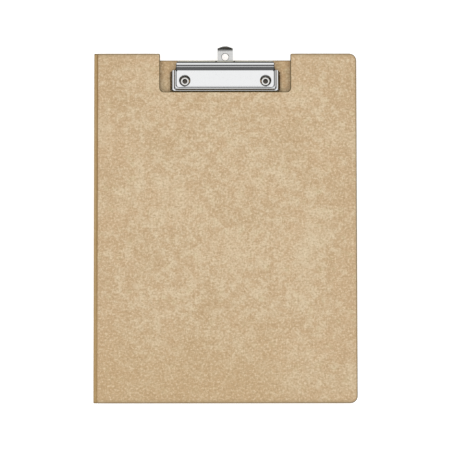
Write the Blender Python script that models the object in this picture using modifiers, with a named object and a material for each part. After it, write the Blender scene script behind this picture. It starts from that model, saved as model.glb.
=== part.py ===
"""Folio clipboard: a kraft-lined greyboard folder with a hinged cover and a low-profile lever clip.

The folder lies closed on its back. X runs across the folder from spine to free edge, Y up the page
towards the clip, and Z up. The origin is the centre of the back's outer face. The laminate is three
greyboards (back, spine, cover) between kraft liners, which are the living hinges at the two creases.
The clip is a stamped base plate on two hollow rivets, a lever plate on a headed pin with two torsion
springs, and a hanging tab that slides under the base plate.
"""

import math

import bmesh
import bpy
from mathutils import Matrix, Vector

MM = 0.001

# Folder
FOLDER_WIDTH = 237 * MM
FOLDER_HEIGHT = 315 * MM
FOLDER_DEPTH = 10 * MM  # outer face to outer face, closed
LINER = 0.3 * MM
CORE = 1.8 * MM
GLUE = 0.05 * MM  # glue line between a liner and its core
CREASE_SETBACK = 2.75 * MM  # board edge to the folder's outer corner
CREASE_HALF_GAP = 0.3 * MM  # liner end to the crease axis
CORNER_RADIUS = 6.5 * MM

# Notch in the cover that clears the clip, and shallow recess in the back that clears the tab
NOTCH_HALF_WIDTH = 59 * MM
NOTCH_EDGE_Y = 122.1 * MM
NOTCH_INNER_RADIUS = 3.5 * MM
NOTCH_OUTER_RADIUS = 1.2 * MM
RECESS_HALF_WIDTH = 66 * MM
RECESS_EDGE_Y = 152.4 * MM
RECESS_INNER_RADIUS = 3 * MM
RECESS_OUTER_RADIUS = 1.2 * MM

# Clip
SHEET = 0.8 * MM
RUN_GAP = 0.4 * MM  # between ears that turn past each other
CLIP_HALF_WIDTH = 50 * MM
JAW_FRONT_Y = 122.9 * MM
RIVET_X = 36.6 * MM
RIVET_Y = 133.2 * MM
PIVOT_Y = 142.2 * MM
PIVOT_RISE = 3.4 * MM  # above the inner face of the back
PANEL_RISE = 6.9 * MM  # lever panel's top above the inner face of the back
PANEL_HALF_WIDTH = 43.9 * MM
PANEL_FRONT_Y = 127.3 * MM
PANEL_REAR_Y = 141.6 * MM
PANEL_CORNER_RADIUS = 2.8 * MM
STEP_RUN = 2.4 * MM  # the pressed step from the panel down to the rim
STEP_FOOT_RADIUS = 2.6 * MM
STEP_FOOT_REAR_Y = 143.3 * MM
RIM_DROP = 1.5 * MM
RIM_BEND_SIDE = 1.6 * MM  # the bend from the rim into the flange, across at the sides and the front
RIM_BEND_FRONT = 1.2 * MM
RIM_BEND_DROP = 1.5 * MM
RIM_CORNER_RADIUS = 1.6 * MM
JAW_CORNER_RADIUS = 2.1 * MM
SHOULDER_SLOPE = 0.6  # how far the jaw's rear corners run forward, for each unit outwards
FLANGE_TAPER = 2.2 * MM  # the flange's lower edge rises this far from front to rear
RIVET_ACCESS_RADIUS = 5.1 * MM
JAW_GAP = 0.3 * MM  # closed jaw to the board
PIN_RADIUS = 1.2 * MM
PIN_HOLE_RADIUS = 1.35 * MM
PIN_HEAD_RADIUS = 1.5 * MM
PIN_HEAD_LENGTH = 0.6 * MM
PIN_HEAD_EDGE = 0.2 * MM
PIN_END_PLAY = 0.2 * MM
EAR_RADIUS = 2.3 * MM
EAR_SHOULDER = 1.84 * MM  # the base plate's ears end this far above the pin's axis
EAR_SHOULDER_RADIUS = 2.07 * MM

# Thumb lever behind the panel: a bend up, a straight ramp and a rolled edge
RAMP_ANGLE = math.radians(48)
RAMP_BEND_RADIUS = 2 * MM
RAMP_LENGTH = 3.2 * MM
ROLL_RADIUS = 1.5 * MM
ROLL_SWEEP = math.radians(215)
RAMP_BEND_STEPS = 3
ROLL_STEPS = 10
EAR_REACH_IN_ROLL = Vector((0.7, -0.4)) * MM  # the ear's two top corners, either side of the roll's centre
EAR_BOSS_FIRST, EAR_BOSS_LAST, EAR_BOSS_STEP = 180, 331, 25  # degrees round the pin

# Hanging tab
TAB_SHEET = 0.65 * MM
TAB_HALF_WIDTH = 6.75 * MM
TAB_HEAD_HALF_WIDTH = 8.7 * MM
TAB_INNER_Y = 138.5 * MM
TAB_SHOULDER_Y = 141.2 * MM
TAB_LIP_Y = 159.6 * MM
TAB_LIP_RADIUS = 4.6 * MM
TAB_LIP_SWEEP = math.radians(78)
TAB_HOLE_Y = 154.8 * MM
TAB_HOLE_RADIUS = 3.6 * MM
TAB_SHOULDER_LENGTH = 0.1 * MM
TAB_LIP_STEPS = 9
TAB_LIP_NARROWS = 0.45  # both the part of the curl that narrows, and how much of its width goes

# Base plate
BASE_FRONT_Y = 126.2 * MM
BASE_REAR_Y = 152.1 * MM
BRIDGE_RISE = 0.85 * MM
BRIDGE_STEP_Y = 141.5 * MM
BRIDGE_STEP_LENGTH = 1.6 * MM
BRIDGE_CLEARANCE = 0.45 * MM
BRIDGE_FLANK = 1.2 * MM
BRIDGE_LEAN = 0.35  # of the sheet: the upper skin's flank is this much further out
BASE_LIFT = 0.05 * MM  # clear of the liner that it lies on

# Rivets
RIVET_HOLLOW = 2.1 * MM
RIVET_FLOOR = 0.7 * MM  # height of the hollow's floor, closed by the head
RIVET_SHANK = 2.6 * MM
RIVET_HEAD = 4.2 * MM
RIVET_RIM = 3.85 * MM
RIVET_HOLE = 2.8 * MM  # through boards and base plate
RIVET_HEAD_HOLE = 4.5 * MM  # in the outer liner, which the head is pressed into
RIVET_HEAD_BOTTOM = 0.02 * MM
RIVET_RIM_RISE = 0.9 * MM
RIVET_RIM_GAP = 0.05 * MM  # rim to base plate
RIVET_ROLL = 0.45 * MM  # the depth over which the rim rolls into the hollow

# Torsion springs
WIRE_RADIUS = 0.45 * MM
COIL_RADIUS = 1.85 * MM
COIL_PITCH = 1.1 * MM
COIL_WHOLE_TURNS = 5
COIL_OUTER_X = 30 * MM
COIL_POINTS_PER_TURN = 14
SPRING_REST_GAP = 0.05 * MM  # leg to base plate
SPRING_LEG_LENGTH = 6.3 * MM
SPRING_LEVER_LEG_LENGTH = 4.3 * MM
SPRING_EXIT_ANGLE = math.radians(118)

ARC_STEPS = 6
HOLE_POINTS = 28
TURNED_STEPS = 24
PIN_STEPS = 16
RIM_BEND_STEPS = 3
WELD = 0.00001

# Derived
LEFT = -FOLDER_WIDTH / 2
RIGHT = FOLDER_WIDTH / 2
BOTTOM = -FOLDER_HEIGHT / 2
TOP = FOLDER_HEIGHT / 2
BOARD = CORE + 2 * (LINER + GLUE)
INNER_FACE = BOARD  # the back's inner face, which the clip stands on
CREASE_X = LEFT + LINER / 2
CREASE_LOW_Z = LINER / 2
CREASE_HIGH_Z = FOLDER_DEPTH - LINER / 2
PIVOT_Z = INNER_FACE + PIVOT_RISE
PANEL_TOP = INNER_FACE + PANEL_RISE
RIM_TOP = PANEL_TOP - RIM_DROP
BASE_BOTTOM = INNER_FACE + BASE_LIFT
BASE_TOP = BASE_BOTTOM + SHEET
EAR_OUTER_X = PANEL_HALF_WIDTH + 0.5 * MM
BASE_EAR_OUTER_X = EAR_OUTER_X - SHEET - RUN_GAP


# ---------------------------------------------------------------- scene helpers


def clear_scene():
    for obj in list(bpy.data.objects):
        bpy.data.objects.remove(obj)


def collection(name):
    made = bpy.data.collections.new(name)
    bpy.context.scene.collection.children.link(made)
    return made


def material(name, rgb, roughness, metallic=0.0):
    made = bpy.data.materials.new(name)
    made.use_nodes = True
    shader = made.node_tree.nodes["Principled BSDF"]
    shader.inputs["Base Color"].default_value = (*rgb, 1)
    shader.inputs["Roughness"].default_value = roughness
    shader.inputs["Metallic"].default_value = metallic
    return made


def place(name, data, group, look=None, location=(0, 0, 0)):
    obj = bpy.data.objects.new(name, data)
    obj.location = location
    if look:
        data.materials.append(look)
    group.objects.link(obj)
    return obj


def hide(obj):
    obj.hide_render = True
    obj.display_type = "WIRE"
    return obj


def joint_empty(name, location, group):
    empty = bpy.data.objects.new(name, None)
    empty.location = location
    group.objects.link(empty)
    bpy.context.view_layer.update()
    return empty


def hang_on(empty, pieces):
    """Parents the pieces to a joint's empty, and leaves them where they are."""
    for piece in pieces:
        piece.parent = empty
        piece.matrix_parent_inverse = empty.matrix_world.inverted()


# ---------------------------------------------------------------- shape helpers


def rounded_outline(corners):
    """Points of a closed outline from (x, y, radius) corners, with an arc at each corner."""
    points = []
    for i, (x, y, radius) in enumerate(corners):
        here = Vector((x, y))
        if not radius:
            points.append(here)
            continue
        before = (Vector(corners[i - 1][:2]) - here).normalized()
        after = (Vector(corners[(i + 1) % len(corners)][:2]) - here).normalized()
        half = before.angle(after) / 2
        centre = here + (before + after).normalized() * (radius / math.sin(half))
        start = here + before * (radius / math.tan(half)) - centre
        end = here + after * (radius / math.tan(half)) - centre
        turn = start.angle_signed(end)
        for step in range(ARC_STEPS + 1):
            spoke = start.copy()
            spoke.rotate(Matrix.Rotation(-turn * step / ARC_STEPS, 2))
            points.append(centre + spoke)
    return points


def circle(x, y, radius, count=HOLE_POINTS):
    angles = [2 * math.pi * k / count for k in range(count)]
    return [Vector((x + radius * math.cos(a), y + radius * math.sin(a))) for a in angles]


def outline_curve(name, loops, thickness):
    """A 2D curve of closed outlines, filled and extruded to a flat solid. Inner loops are holes."""
    curve = bpy.data.curves.new(name, "CURVE")
    curve.dimensions = "2D"
    curve.fill_mode = "BOTH"
    curve.extrude = thickness / 2
    for loop in loops:
        spline = curve.splines.new("POLY")
        spline.points.add(len(loop) - 1)
        for point, place_at in zip(spline.points, loop):
            point.co = (place_at.x, place_at.y, 0, 1)
        spline.use_cyclic_u = True
    return curve


def sheet_solid(name, loops, bottom, thickness, group, look):
    curve = outline_curve(name, loops, thickness)
    return place(name, curve, group, look, (0, 0, bottom + thickness / 2))


def box_solid(name, low, high, group, look):
    low, high = Vector(low), Vector(high)
    mesh = bpy.data.meshes.new(name)
    cage = bmesh.new()
    size = high - low
    bmesh.ops.create_cube(cage, size=1, matrix=Matrix.Diagonal((*size, 1)))
    cage.to_mesh(mesh)
    cage.free()
    return place(name, mesh, group, look, (low + high) / 2)


def turned_solid(name, profile, group, look, location, steps=TURNED_STEPS):
    """Turns a profile of (radius, height) points about Z. It runs down its outer side."""
    mesh = bpy.data.meshes.new(name)
    points = [(radius, 0, height) for radius, height in profile]
    closed = profile[0][0] > 0
    edges = [(k, k + 1) for k in range(len(points) - 1)]
    if closed:
        edges.append((len(points) - 1, 0))
    mesh.from_pydata(points, edges, [])
    obj = place(name, mesh, group, look, location)
    screw = obj.modifiers.new("turn", "SCREW")
    screw.steps = steps
    screw.render_steps = steps
    screw.use_merge_vertices = True
    screw.merge_threshold = WELD
    return obj


def loft(cage, sections, closed=False):
    """Adds a strip of faces between each section and the next. Returns the rows of vertices."""
    rows = [[cage.verts.new(point) for point in section] for section in sections]
    for near, far in zip(rows, rows[1:]):
        for k in range(0 if closed else 1, len(near)):
            cage.faces.new((near[k - 1], near[k], far[k], far[k - 1]))
    return rows


def lofted_solid(name, sections, group, look):
    """A solid lofted through closed sections of equally many points, with a cap at each end."""
    cage = bmesh.new()
    rows = loft(cage, sections, closed=True)
    cage.faces.new(rows[0])
    cage.faces.new(rows[-1])
    bmesh.ops.recalc_face_normals(cage, faces=cage.faces)
    mesh = bpy.data.meshes.new(name)
    cage.to_mesh(mesh)
    cage.free()
    return place(name, mesh, group, look)


def sheet_object(name, cage, group, look, thickness=SHEET):
    """Makes pressed sheet of a surface, which is the sheet's upper face."""
    bmesh.ops.remove_doubles(cage, verts=cage.verts, dist=WELD)
    bmesh.ops.recalc_face_normals(cage, faces=cage.faces)
    widest = max(cage.faces, key=lambda face: face.calc_area())
    if widest.normal.z < 0:
        bmesh.ops.reverse_faces(cage, faces=cage.faces)
    mesh = bpy.data.meshes.new(name)
    cage.to_mesh(mesh)
    cage.free()
    obj = place(name, mesh, group, look)
    solidify = obj.modifiers.new("thickness", "SOLIDIFY")
    solidify.thickness = thickness
    solidify.offset = -1
    solidify.use_even_offset = True
    return obj


def wire_solid(name, points, radius, group, look):
    """A round wire through the points, as a bevelled curve with filled ends."""
    curve = bpy.data.curves.new(name, "CURVE")
    curve.dimensions = "3D"
    curve.bevel_depth = radius
    curve.bevel_resolution = 2
    curve.use_fill_caps = True
    spline = curve.splines.new("POLY")
    spline.points.add(len(points) - 1)
    for point, place_at in zip(spline.points, points):
        point.co = (*place_at, 1)
    return place(name, curve, group, look)


def upright_plate(name, outline, low_x, group, thickness=SHEET):
    """A mesh plate that stands in the YZ plane, from an outline of (y, z) points."""
    curve = outline_curve(name, outline, thickness)
    stand = bpy.data.objects.new(name, curve)
    group.objects.link(stand)
    upright = Matrix(((0, 0, 1, low_x + thickness / 2), (1, 0, 0, 0), (0, 1, 0, 0), (0, 0, 0, 1)))
    stand.matrix_world = upright
    bpy.context.view_layer.update()
    graph = bpy.context.evaluated_depsgraph_get()
    mesh = bpy.data.meshes.new_from_object(stand.evaluated_get(graph))
    mesh.transform(upright)
    cage = bmesh.new()
    cage.from_mesh(mesh)
    bmesh.ops.remove_doubles(cage, verts=cage.verts, dist=WELD)
    bmesh.ops.recalc_face_normals(cage, faces=cage.faces)
    cage.to_mesh(mesh)
    cage.free()
    bpy.data.objects.remove(stand)
    return hide(place(name, mesh, group))


def rod_cutter(name, centre, radius, length, group):
    """An upright rod that cuts a round hole."""
    mesh = bpy.data.meshes.new(name)
    cage = bmesh.new()
    bmesh.ops.create_cone(
        cage, cap_ends=True, segments=HOLE_POINTS, radius1=radius, radius2=radius, depth=length
    )
    cage.to_mesh(mesh)
    cage.free()
    return hide(place(name, mesh, group, location=centre))


def combine(obj, other, operation):
    boolean = obj.modifiers.new(other.name, "BOOLEAN")
    boolean.operation = operation
    boolean.object = other


# ---------------------------------------------------------------- folder


def cover_outline(left):
    """The cover's outline, from its crease side to its rounded free corners, with the clip's notch."""
    return rounded_outline(
        [
            (left, BOTTOM, 0),
            (RIGHT, BOTTOM, CORNER_RADIUS),
            (RIGHT, TOP, CORNER_RADIUS),
            (NOTCH_HALF_WIDTH, TOP, NOTCH_OUTER_RADIUS),
            (NOTCH_HALF_WIDTH, NOTCH_EDGE_Y, NOTCH_INNER_RADIUS),
            (-NOTCH_HALF_WIDTH, NOTCH_EDGE_Y, NOTCH_INNER_RADIUS),
            (-NOTCH_HALF_WIDTH, TOP, NOTCH_OUTER_RADIUS),
            (left, TOP, 0),
        ]
    )


def back_outline(left):
    return rounded_outline(
        [
            (left, BOTTOM, 0),
            (RIGHT, BOTTOM, CORNER_RADIUS),
            (RIGHT, TOP, CORNER_RADIUS),
            (RECESS_HALF_WIDTH, TOP, RECESS_OUTER_RADIUS),
            (RECESS_HALF_WIDTH, RECESS_EDGE_Y, RECESS_INNER_RADIUS),
            (-RECESS_HALF_WIDTH, RECESS_EDGE_Y, RECESS_INNER_RADIUS),
            (-RECESS_HALF_WIDTH, TOP, RECESS_OUTER_RADIUS),
            (left, TOP, 0),
        ]
    )


def laminate(prefix, outline, holes, outer_bottom, outwards, group, kraft, grey):
    """Makes and returns one board's outer liner, core and inner liner.

    outwards is -1 if the outer face is the lower one, and 1 if it is the upper one.
    """
    setback = LEFT + CREASE_SETBACK
    liner_left = CREASE_X + CREASE_HALF_GAP
    inner_bottom = outer_bottom - outwards * (BOARD - LINER)
    core_bottom = min(outer_bottom, inner_bottom) + LINER + GLUE
    wide = [circle(x, y, RIVET_HEAD_HOLE) for x, y in holes]
    narrow = [circle(x, y, RIVET_HOLE) for x, y in holes]
    return [
        sheet_solid(f"{prefix}_outer_liner", [outline(liner_left), *wide], outer_bottom, LINER, group, kraft),
        sheet_solid(f"{prefix}_board", [outline(setback), *narrow], core_bottom, CORE, group, grey),
        sheet_solid(f"{prefix}_inner_liner", [outline(setback), *narrow], inner_bottom, LINER, group, kraft),
    ]


def spine(group, kraft, grey):
    """The spine's strip of board with its two liners, upright between the creases."""
    board_low, board_high = CREASE_SETBACK, FOLDER_DEPTH - CREASE_SETBACK
    liner_low = CREASE_LOW_Z + CREASE_HALF_GAP
    liner_high = CREASE_HIGH_Z - CREASE_HALF_GAP
    layers = (
        ("spine_outer_liner", 0, LINER, liner_low, liner_high, kraft),
        ("spine_board", LINER + GLUE, CORE, board_low, board_high, grey),
        ("spine_inner_liner", BOARD - LINER, LINER, board_low, board_high, kraft),
    )
    return [
        box_solid(name, (LEFT + x, BOTTOM, low), (LEFT + x + wide, TOP, high), group, look)
        for name, x, wide, low, high, look in layers
    ]


# ---------------------------------------------------------------- clip


def bridge_section(y, half_width):
    """One closed section across the base plate, raised over the hanging tab."""
    foot = half_width + BRIDGE_FLANK
    lean = BRIDGE_LEAN * SHEET
    upper = (
        (BASE_EAR_OUTER_X, 0),
        (foot + lean, 0),
        (half_width + lean, BRIDGE_RISE),
    )
    lower = (
        (half_width, BRIDGE_RISE - SHEET),
        (foot, -SHEET),
        (BASE_EAR_OUTER_X, -SHEET),
    )
    over = [(-x, rise) for x, rise in upper] + [(x, rise) for x, rise in reversed(upper)]
    under = [(x, rise) for x, rise in reversed(lower)] + [(-x, rise) for x, rise in lower]
    return [(x, y, BASE_TOP + rise) for x, rise in over + under]


def base_plate(group, cutters, look):
    wide = TAB_HEAD_HALF_WIDTH + BRIDGE_CLEARANCE
    narrow = TAB_HALF_WIDTH + BRIDGE_CLEARANCE
    sections = [
        bridge_section(BASE_FRONT_Y, wide),
        bridge_section(BRIDGE_STEP_Y, wide),
        bridge_section(BRIDGE_STEP_Y + BRIDGE_STEP_LENGTH, narrow),
        bridge_section(BASE_REAR_Y, narrow),
    ]
    plate = lofted_solid("clip_base_plate", sections, group, look)
    ear = rounded_outline(
        [
            (PIVOT_Y - EAR_RADIUS, BASE_BOTTOM + SHEET / 4, 0),
            (PIVOT_Y + EAR_RADIUS, BASE_BOTTOM + SHEET / 4, 0),
            (PIVOT_Y + EAR_RADIUS, PIVOT_Z + EAR_SHOULDER, EAR_SHOULDER_RADIUS),
            (PIVOT_Y - EAR_RADIUS, PIVOT_Z + EAR_SHOULDER, EAR_SHOULDER_RADIUS),
        ]
    )
    pin_hole = circle(PIVOT_Y, PIVOT_Z, PIN_HOLE_RADIUS)
    for side, low_x in (("left", -BASE_EAR_OUTER_X), ("right", BASE_EAR_OUTER_X - SHEET)):
        combine(plate, upright_plate(f"base_ear_{side}", [ear, pin_hole], low_x, cutters), "UNION")
    for side, x in (("left", -RIVET_X), ("right", RIVET_X)):
        centre = (x, RIVET_Y, BASE_TOP)
        hole = rod_cutter(f"base_rivet_hole_{side}", centre, RIVET_HOLE, 4 * SHEET, cutters)
        combine(plate, hole, "DIFFERENCE")
    return plate


def jaw_ring(half_width, front_y, radius, rear_y, z, rear_z):
    """One ring of the pressed jaw: from its left rear end, round the front, to its right rear end."""
    points = [(-half_width, rear_y, rear_z)]
    corners = ((radius - half_width, math.pi), (half_width - radius, 1.5 * math.pi))
    for centre_x, first in corners:
        for step in range(ARC_STEPS + 1):
            angle = first + math.pi / 2 * step / ARC_STEPS
            x = centre_x + radius * math.cos(angle)
            y = front_y + radius + radius * math.sin(angle)
            points.append((x, y, z))
    points.append((half_width, rear_y, rear_z))
    return points


def jaw_rings():
    """Rings from the lever panel's edge, down the step, over the rim and down the flange."""
    step_half_width = PANEL_HALF_WIDTH + STEP_RUN
    rim_half_width = CLIP_HALF_WIDTH - RIM_BEND_SIDE

    def shoulder_y(half_width):
        return STEP_FOOT_REAR_Y - SHOULDER_SLOPE * (half_width - step_half_width)

    rings = [
        jaw_ring(PANEL_HALF_WIDTH, PANEL_FRONT_Y, PANEL_CORNER_RADIUS, PANEL_REAR_Y, PANEL_TOP, PANEL_TOP),
        jaw_ring(
            step_half_width, PANEL_FRONT_Y - STEP_RUN, STEP_FOOT_RADIUS, STEP_FOOT_REAR_Y, RIM_TOP, RIM_TOP
        ),
    ]
    for step in range(RIM_BEND_STEPS + 1):
        turn = math.pi / 2 * step / RIM_BEND_STEPS
        out = math.sin(turn)
        half_width = rim_half_width + RIM_BEND_SIDE * out
        front_y = JAW_FRONT_Y + RIM_BEND_FRONT * (1 - out)
        radius = RIM_CORNER_RADIUS + (JAW_CORNER_RADIUS - RIM_CORNER_RADIUS) * out
        z = RIM_TOP - RIM_BEND_DROP * (1 - math.cos(turn))
        rings.append(jaw_ring(half_width, front_y, radius, shoulder_y(half_width), z, z))
    low = INNER_FACE + JAW_GAP
    rear_y = shoulder_y(CLIP_HALF_WIDTH)
    rings.append(jaw_ring(CLIP_HALF_WIDTH, JAW_FRONT_Y, JAW_CORNER_RADIUS, rear_y, low, low + FLANGE_TAPER))
    return rings


def ramp_profile():
    """(y, z) points of the thumb lever's outer face, from the panel to the end of its rolled edge."""
    points = []
    for step in range(1, RAMP_BEND_STEPS + 1):
        turn = RAMP_ANGLE * step / RAMP_BEND_STEPS
        y = PANEL_REAR_Y + RAMP_BEND_RADIUS * math.sin(turn)
        points.append((y, PANEL_TOP + RAMP_BEND_RADIUS * (1 - math.cos(turn))))
    along = Vector((math.cos(RAMP_ANGLE), math.sin(RAMP_ANGLE)))
    normal = Vector((-along.y, along.x))
    crest = Vector(points[-1]) + along * RAMP_LENGTH
    centre = crest - normal * ROLL_RADIUS
    for step in range(ROLL_STEPS + 1):
        spoke = normal * ROLL_RADIUS
        spoke.rotate(Matrix.Rotation(-ROLL_SWEEP * step / ROLL_STEPS, 2))
        points.append(tuple(centre + spoke))
    return points, centre


def lever_ear_outline(roll_centre):
    """The ear hangs from the panel and the ramp down to a boss round the pin."""
    inset = SHEET / 2
    ramp_foot = (PANEL_REAR_Y + inset, PANEL_TOP - inset)
    boss = [
        Vector((PIVOT_Y + EAR_RADIUS * math.cos(a), PIVOT_Z + EAR_RADIUS * math.sin(a)))
        for a in map(math.radians, range(EAR_BOSS_FIRST, EAR_BOSS_LAST, EAR_BOSS_STEP))
    ]
    corners = [
        roll_centre + EAR_REACH_IN_ROLL,
        roll_centre - EAR_REACH_IN_ROLL,
        Vector(ramp_foot),
        Vector((PIVOT_Y - EAR_RADIUS, PANEL_TOP - inset)),
    ]
    return corners + boss


def lever_plate(group, cutters, look):
    """The one-piece lever: panel, pressed step and rim, flanges, thumb ramp, rolled edge and ears."""
    cage = bmesh.new()
    rings = loft(cage, jaw_rings())
    cage.faces.new(rings[0])
    profile, roll_centre = ramp_profile()
    ramp = [(PANEL_REAR_Y, PANEL_TOP), *profile]
    loft(cage, [[(side * PANEL_HALF_WIDTH, y, z) for side in (-1, 1)] for y, z in ramp])
    lever = sheet_object("clip_lever", cage, group, look)

    ear = lever_ear_outline(roll_centre)
    pin_hole = circle(PIVOT_Y, PIVOT_Z, PIN_HOLE_RADIUS)
    for side, low_x in (("left", -EAR_OUTER_X), ("right", EAR_OUTER_X - SHEET)):
        combine(lever, upright_plate(f"lever_ear_{side}", [ear, pin_hole], low_x, cutters), "UNION")
    for side, x in (("left", -RIVET_X), ("right", RIVET_X)):
        centre = (x, RIVET_Y, PANEL_TOP)
        hole = rod_cutter(f"rivet_access_{side}", centre, RIVET_ACCESS_RADIUS, 4 * SHEET, cutters)
        combine(lever, hole, "DIFFERENCE")
    return lever


def hinge_pin(group, look):
    """A plain pin through both pairs of ears, with a head peened at each end."""
    reach = EAR_OUTER_X + PIN_END_PLAY
    end = reach + PIN_HEAD_LENGTH
    upper = [
        (0, end),
        (PIN_HEAD_RADIUS - PIN_HEAD_EDGE, end),
        (PIN_HEAD_RADIUS, end - PIN_HEAD_EDGE),
        (PIN_HEAD_RADIUS, reach),
        (PIN_RADIUS, reach),
    ]
    lower = [(radius, -height) for radius, height in reversed(upper)]
    pin = turned_solid("hinge_pin", upper + lower, group, look, (0, PIVOT_Y, PIVOT_Z), PIN_STEPS)
    pin.rotation_euler = (0, math.pi / 2, 0)
    return pin


def rivet(name, x, group, look):
    """A semi-tubular rivet: flat closed head in the outer liner, hollow shank, rim rolled over the plate."""
    rim_foot = BASE_TOP + RIVET_RIM_GAP
    rim_top = rim_foot + RIVET_RIM_RISE
    rim_crest = (RIVET_HOLLOW + RIVET_RIM) / 2
    head_edge = (LINER - RIVET_HEAD_BOTTOM) / 3
    profile = [
        (0, RIVET_FLOOR),
        (RIVET_HOLLOW, RIVET_FLOOR),
        (RIVET_HOLLOW, rim_top - RIVET_ROLL),
        (RIVET_HOLLOW + RIVET_ROLL, rim_top - RIVET_ROLL / 4),
        (rim_crest, rim_top),
        (RIVET_RIM - RIVET_ROLL * 2 / 3, rim_top - RIVET_ROLL / 2),
        (RIVET_RIM, rim_foot + RIVET_ROLL / 2),
        (RIVET_RIM - RIVET_ROLL / 3, rim_foot),
        (RIVET_SHANK, rim_foot),
        (RIVET_SHANK, LINER),
        (RIVET_HEAD, LINER),
        (RIVET_HEAD, RIVET_HEAD_BOTTOM + head_edge),
        (RIVET_HEAD - head_edge, RIVET_HEAD_BOTTOM),
        (0, RIVET_HEAD_BOTTOM),
    ]
    return turned_solid(name, profile, group, look, (x, RIVET_Y, 0))


def torsion_spring(name, side, group, look):
    """Five turns and a part turn round the pin. One leg lies on the base plate, the other lifts the ramp."""
    start_angle = -math.pi / 2
    sweep = (start_angle - SPRING_EXIT_ANGLE) % (2 * math.pi) + COIL_WHOLE_TURNS * 2 * math.pi
    steps = round(sweep / (2 * math.pi) * COIL_POINTS_PER_TURN)

    def at(x_inwards, y, z):
        return side * (COIL_OUTER_X - x_inwards), y, z

    foot_z = BASE_TOP + WIRE_RADIUS + SPRING_REST_GAP
    points = [at(0, PIVOT_Y + SPRING_LEG_LENGTH, foot_z)]
    for step in range(steps + 1):
        angle = start_angle - sweep * step / steps
        along = COIL_PITCH * sweep / (2 * math.pi) * step / steps
        y = PIVOT_Y + COIL_RADIUS * math.cos(angle)
        points.append(at(along, y, PIVOT_Z + COIL_RADIUS * math.sin(angle)))
    x, y, z = points[-1]
    leg = SPRING_LEVER_LEG_LENGTH
    rise = math.sin(SPRING_EXIT_ANGLE), -math.cos(SPRING_EXIT_ANGLE)
    points.append((x, y + leg * rise[0], z + leg * rise[1]))
    return wire_solid(name, points, WIRE_RADIUS, group, look)


def hanging_tab(group, cutters, look):
    """A strip with a wide inner head that stops in the bridge, a hanging hole and a curled pull lip."""
    flat_top = BASE_BOTTOM + BASE_LIFT + TAB_SHEET
    rows = [
        (TAB_INNER_Y, flat_top, TAB_HEAD_HALF_WIDTH),
        (TAB_SHOULDER_Y - TAB_SHOULDER_LENGTH, flat_top, TAB_HEAD_HALF_WIDTH),
        (TAB_SHOULDER_Y, flat_top, TAB_HALF_WIDTH),
        (TAB_LIP_Y, flat_top, TAB_HALF_WIDTH),
    ]
    for step in range(1, TAB_LIP_STEPS + 1):
        turn = TAB_LIP_SWEEP * step / TAB_LIP_STEPS
        y = TAB_LIP_Y + TAB_LIP_RADIUS * math.sin(turn)
        z = flat_top + TAB_LIP_RADIUS * (1 - math.cos(turn))
        narrowing = max(0, step / TAB_LIP_STEPS - 1 + TAB_LIP_NARROWS) / TAB_LIP_NARROWS
        rows.append((y, z, TAB_HALF_WIDTH * (1 - TAB_LIP_NARROWS * narrowing**2)))
    cage = bmesh.new()
    loft(cage, [[(-half, y, z), (half, y, z)] for y, z, half in rows])
    tab = sheet_object("hanging_tab", cage, group, look, TAB_SHEET)
    hole = rod_cutter("tab_hole", (0, TAB_HOLE_Y, flat_top), TAB_HOLE_RADIUS, 4 * SHEET, cutters)
    combine(tab, hole, "DIFFERENCE")
    return tab


# ---------------------------------------------------------------- assembly


def build():
    clear_scene()
    parts = collection("folio_clipboard")
    cutters = collection("cutters")
    kraft = material("kraft_liner", (0.60, 0.455, 0.29), 0.85)
    grey = material("greyboard", (0.36, 0.31, 0.25), 0.95)
    chrome = material("chromed_sheet", (0.86, 0.86, 0.86), 0.08, 1.0)
    nickel = material("nickel_rivet", (0.75, 0.73, 0.70), 0.16, 1.0)
    wire = material("spring_steel", (0.55, 0.55, 0.56), 0.25, 1.0)

    rivet_places = [(-RIVET_X, RIVET_Y), (RIVET_X, RIVET_Y)]
    laminate("back", back_outline, rivet_places, 0, -1, parts, kraft, grey)
    spine_pieces = spine(parts, kraft, grey)
    cover_top = FOLDER_DEPTH - LINER
    cover_pieces = laminate("cover", cover_outline, [], cover_top, 1, parts, kraft, grey)

    base_plate(parts, cutters, chrome)
    hinge_pin(parts, nickel)
    for side, x in (("left", -RIVET_X), ("right", RIVET_X)):
        rivet(f"rivet_{side}", x, parts, nickel)
    for side, sign in (("left", -1), ("right", 1)):
        torsion_spring(f"torsion_spring_{side}", sign, parts, wire)
    lever = lever_plate(parts, cutters, chrome)
    tab = hanging_tab(parts, cutters, chrome)

    spine_crease = joint_empty("spine_crease_axis", (CREASE_X, 0, CREASE_LOW_Z), parts)
    cover_crease = joint_empty("cover_crease_axis", (CREASE_X, 0, CREASE_HIGH_Z), parts)
    hang_on(spine_crease, [*spine_pieces, cover_crease])
    hang_on(cover_crease, cover_pieces)
    hang_on(joint_empty("lever_pivot_axis", (0, PIVOT_Y, PIVOT_Z), parts), [lever])
    hang_on(joint_empty("tab_slide_axis", (0, TAB_SHOULDER_Y, BASE_BOTTOM), parts), [tab])


build()
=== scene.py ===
"""Looks for the folio clipboard: a kraft-lined folder, a chromed lever clip and a hanging tab."""
import math

import bmesh
import bpy
from mathutils import Matrix, Vector


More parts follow.
